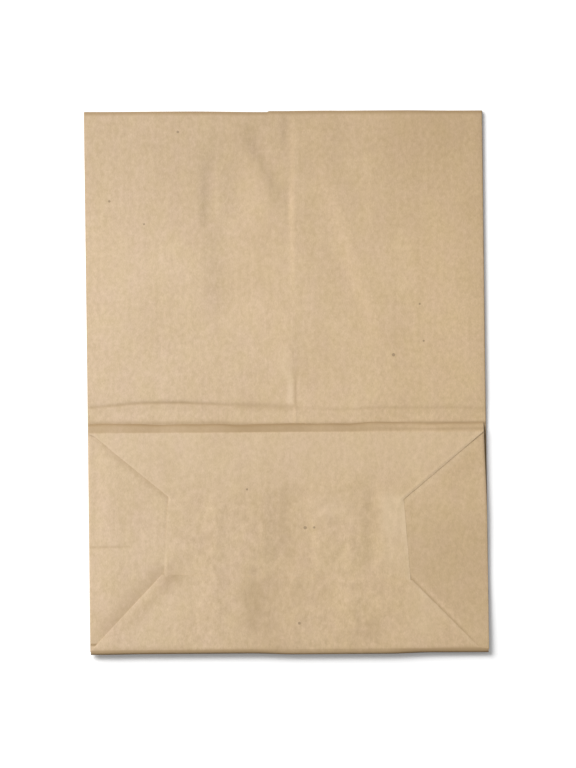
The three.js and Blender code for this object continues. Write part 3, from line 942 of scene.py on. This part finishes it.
def kraft_paper():
    """Brown kraft paper: pulp, clouds, fibres, faint streaks and tinges, and a slow change of tint: painted
    light across the bag, and darker towards the mouth.

    The middle of the pasted flaps is crumpled. Flecks lie over that, and the attribute of creases and
    painted shade darkens the paper up to 1, darkens it further with painted deep shade above 1, and paints
    it paler below 0, mostly as painted highlights.
    """
    material = bpy.data.materials.new("kraft_paper")
    material.use_nodes = True
    nodes, links = material.node_tree.nodes, material.node_tree.links
    shader = nodes["Principled BSDF"]
    shader.inputs["Specular IOR Level"].default_value = SHEEN
    shader.inputs["Roughness"].default_value = ROUGHNESS
    place = nodes.new("ShaderNodeTexCoord").outputs["Object"]

    def feed(socket, value):
        if isinstance(value, bpy.types.NodeSocket):
            links.new(value, socket)
        else:
            socket.default_value = value

    def noise(scale, stretch, detail, roughness):
        squeeze = nodes.new("ShaderNodeMapping")
        squeeze.inputs["Scale"].default_value = (1.0, stretch, 1.0)
        links.new(place, squeeze.inputs["Vector"])
        made = nodes.new("ShaderNodeTexNoise")
        made.inputs["Scale"].default_value = scale
        made.inputs["Detail"].default_value = detail
        made.inputs["Roughness"].default_value = roughness
        links.new(squeeze.outputs["Vector"], made.inputs["Vector"])
        return made.outputs["Fac"]

    def mixed(kind, amount, below, above):
        mix = nodes.new("ShaderNodeMix")
        mix.data_type = "RGBA"
        mix.blend_type = kind
        feed(mix.inputs[0], amount)
        feed(mix.inputs[6], below)
        feed(mix.inputs[7], above)
        return mix.outputs[2]

    def ramp(source, low, dark, high, light):
        made = nodes.new("ShaderNodeValToRGB")
        for stop, position, colour in zip(made.color_ramp.elements, (low, high), (dark, light)):
            stop.position = position
            stop.color = (*colour, 1.0)
        links.new(source, made.inputs["Fac"])
        return made.outputs["Color"]

    def grain(kind):
        pattern = noise(kind.scale, kind.stretch, kind.detail, kind.roughness)
        return ramp(pattern, kind.low, kind.dark, kind.high, kind.light)

    def sums(operation, *values):
        made = nodes.new("ShaderNodeMath")
        made.operation = operation
        for socket, value in zip(made.inputs, values):
            feed(socket, value)
        return made.outputs["Value"]

    split = nodes.new("ShaderNodeSeparateXYZ")
    links.new(place, split.inputs["Vector"])
    share_across = sums("MULTIPLY_ADD", split.outputs["X"], 1 / (WIDTH * MM), 0.5)
    share_along = sums("MULTIPLY_ADD", split.outputs["Y"], 1 / (HEIGHT * MM), 0.5)
    colour = grain(PULP)
    for kind in (CLOUDS, FIBRES, STREAKS, TINGES):
        colour = mixed("MULTIPLY", 1.0, colour, grain(kind))
    # Painted light across the bag: paler and bluer at the left, darker and warmer at the right
    colour = mixed("MULTIPLY", 1.0, colour, ramp(share_across, 0.1, LEFT_LIGHT_TINT, 0.9, RIGHT_SHADE_TINT))
    colour = mixed("MULTIPLY", 1.0, colour, ramp(share_along, 0.73, PLAIN_TINT, 0.93, MOUTH_TINT))
    pasted = ramp(share_along, 0.26, ALL, 0.33, NONE)
    off_middle = sums("ABSOLUTE", sums("SUBTRACT", share_across, 0.5))
    overlapped = ramp(off_middle, 0.22, ALL, 0.34, LITTLE)
    colour = mixed("MULTIPLY", sums("MULTIPLY", pasted, overlapped), colour, grain(CRUMPLES))

    in_plan = nodes.new("ShaderNodeVectorMath")
    in_plan.operation = "MULTIPLY"
    in_plan.inputs[1].default_value = (1.0, 1.0, 0.0)
    links.new(place, in_plan.inputs[0])
    fleck_mask = 0.0
    for x, y, radius in FLECKS:
        away = nodes.new("ShaderNodeVectorMath")
        away.operation = "DISTANCE"
        away.inputs[1].default_value = (x * MM, y * MM, 0.0)
        links.new(in_plan.outputs["Vector"], away.inputs[0])
        inside = sums("LESS_THAN", away.outputs["Value"], radius * MM)
        fleck_mask = sums("MAXIMUM", fleck_mask, inside)
    colour = mixed("MIX", sums("MULTIPLY", fleck_mask, FLECK_STRENGTH), colour, FLECK_COLOUR)

    crease_and_shade = nodes.new("ShaderNodeAttribute")
    crease_and_shade.attribute_name = "crease_and_shade"
    wear_and_shade = crease_and_shade.outputs["Fac"]
    # Crease wear and painted shade darken the paper up to 1 and past it; below 0 it is painted paler, mostly
    # as highlights
    colour = mixed("MIX", wear_and_shade, colour, CREASE_AND_SHADE_COLOUR)
    colour = mixed("MIX", sums("SUBTRACT", wear_and_shade, 1.0), colour, DEEP_SHADE_COLOUR)
    colour = mixed("MIX", sums("MULTIPLY", wear_and_shade, -1.0), colour, PALE_AND_HIGHLIGHT_COLOUR)
    links.new(colour, shader.inputs["Base Color"])

    bump = nodes.new("ShaderNodeBump")
    bump.inputs["Strength"].default_value = BUMP_STRENGTH
    bump.inputs["Distance"].default_value = BUMP_DEPTH * MM
    links.new(noise(700.0, 0.5, 4.0, 0.6), bump.inputs["Height"])
    links.new(bump.outputs["Normal"], shader.inputs["Normal"])
    return material


bag = join_sheet("kraft_paper_bag")
turn_faces(bag)
bag.data.materials.append(kraft_paper())
thickness = bag.modifiers.new("paper thickness", "SOLIDIFY")
thickness.thickness = PAPER * MM
thickness.offset = 0.0
solid_paper = bag.evaluated_get(bpy.context.evaluated_depsgraph_get())
bag.data = bpy.data.meshes.new_from_object(solid_paper)
bag.modifiers.clear()
bag.data.set_sharp_from_angle(angle=math.radians(60))
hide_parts("paper_bag")
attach(bag, "root")

# The floor
# A plain white table that the bag lies on. To the eye it is white and keeps the bag's shadow, and it
# throws little light back under the edges of the bag.

FLOOR_SIZE = 6.0
FLOOR_SEEN = 1.0
FLOOR_BOUNCE = 0.35
FLOOR_GLOW = 0.16
FLOOR_GAP = 0.1
reach = FLOOR_SIZE / 2
floor_mesh = bpy.data.meshes.new("floor")
floor_corners = [(-reach, -reach, 0), (reach, -reach, 0), (reach, reach, 0), (-reach, reach, 0)]
floor_mesh.from_pydata(floor_corners, [], [(0, 1, 2, 3)])
floor = bpy.data.objects.new("floor", floor_mesh)
floor.location.z = bag_low.z - FLOOR_GAP * MM
bpy.context.scene.collection.objects.link(floor)


def white_table():
    """White to camera, mirror and glass rays, and greyer to the light that it throws back."""
    material = bpy.data.materials.new("white_table")
    material.use_nodes = True
    nodes, links = material.node_tree.nodes, material.node_tree.links
    nodes.remove(nodes["Principled BSDF"])
    path = nodes.new("ShaderNodeLightPath")
    seen = path.outputs["Is Camera Ray"]
    for name in ("Is Glossy Ray", "Is Transmission Ray"):
        either = nodes.new("ShaderNodeMath")
        either.operation = "MAXIMUM"
        links.new(seen, either.inputs[0])
        links.new(path.outputs[name], either.inputs[1])
        seen = either.outputs["Value"]
    colour = nodes.new("ShaderNodeMix")
    colour.data_type = "RGBA"
    colour.inputs[6].default_value = (FLOOR_BOUNCE, FLOOR_BOUNCE, FLOOR_BOUNCE, 1.0)
    colour.inputs[7].default_value = (FLOOR_SEEN, FLOOR_SEEN, FLOOR_SEEN, 1.0)
    links.new(seen, colour.inputs[0])
    matt = nodes.new("ShaderNodeBsdfDiffuse")
    links.new(colour.outputs[2], matt.inputs["Color"])
    strength = nodes.new("ShaderNodeMath")
    strength.operation = "MULTIPLY"
    strength.inputs[1].default_value = FLOOR_GLOW
    links.new(seen, strength.inputs[0])
    glow = nodes.new("ShaderNodeEmission")
    links.new(strength.outputs["Value"], glow.inputs["Strength"])
    both = nodes.new("ShaderNodeAddShader")
    links.new(matt.outputs["BSDF"], both.inputs[0])
    links.new(glow.outputs["Emission"], both.inputs[1])
    links.new(both.outputs["Shader"], nodes["Material Output"].inputs["Surface"])
    return material


floor_mesh.materials.append(white_table())

# The light
# One large soft lamp stands to the left of the table, and a pale room fills in the shade.

LAMP_PLACE = Vector((-1.7, 0.95, 2.0))
LAMP_AIM = Vector((0.0, -1.0, 0.0))
LAMP_SIZE = 2.2
LAMP_POWER = 106.5
ROOM_STRENGTH = 0.24
lamp_data = bpy.data.lights.new("soft_lamp", "AREA")
lamp_data.energy = LAMP_POWER
lamp_data.size = LAMP_SIZE
lamp = bpy.data.objects.new("soft_lamp", lamp_data)
lamp.location = LAMP_PLACE
lamp.rotation_mode = "QUATERNION"
lamp.rotation_quaternion = (LAMP_AIM - LAMP_PLACE).to_track_quat("-Z", "Y")
bpy.context.scene.collection.objects.link(lamp)
room = bpy.data.worlds.new("room")
room.use_nodes = True
room.node_tree.nodes["Background"].inputs["Color"].default_value = (1.0, 1.0, 1.0, 1.0)
room_path = room.node_tree.nodes.new("ShaderNodeLightPath")
room_strength = room.node_tree.nodes.new("ShaderNodeMath")
room_strength.operation = "MAXIMUM"
room_strength.inputs[1].default_value = ROOM_STRENGTH
room.node_tree.links.new(room_path.outputs["Is Camera Ray"], room_strength.inputs[0])
room.node_tree.links.new(
    room_strength.outputs["Value"], room.node_tree.nodes["Background"].inputs["Strength"]
)
bpy.context.scene.world = room
bpy.context.scene.view_settings.view_transform = "Standard"

# The camera
# It looks down on the bag from the side of the bottom fold, from far off through a long lens.

PICTURE_HEIGHT = 768
PIXELS_PER_MM = 1.3064
ELEVATION = math.radians(74.35)
ROLL = math.radians(0.42)
DISTANCE = 14.0
FARTHEST = 100.0
SENSOR_WIDTH = 36.0
AIM = Vector((1.25, -2.1, 2.5)) * MM
camera_data = bpy.data.cameras.new("camera")
camera_data.sensor_width = SENSOR_WIDTH
camera_data.lens = SENSOR_WIDTH * DISTANCE / (PICTURE_HEIGHT / PIXELS_PER_MM * MM)
camera_data.clip_end = FARTHEST
camera = bpy.data.objects.new("camera", camera_data)
backwards = Vector((0.0, -math.cos(ELEVATION), math.sin(ELEVATION)))
camera.location = AIM + backwards * DISTANCE
camera.rotation_mode = "QUATERNION"
camera.rotation_quaternion = (-backwards).to_track_quat("-Z", "Y") @ Quaternion((0, 0, 1), -ROLL)
bpy.context.scene.collection.objects.link(camera)
bpy.context.scene.camera = camera
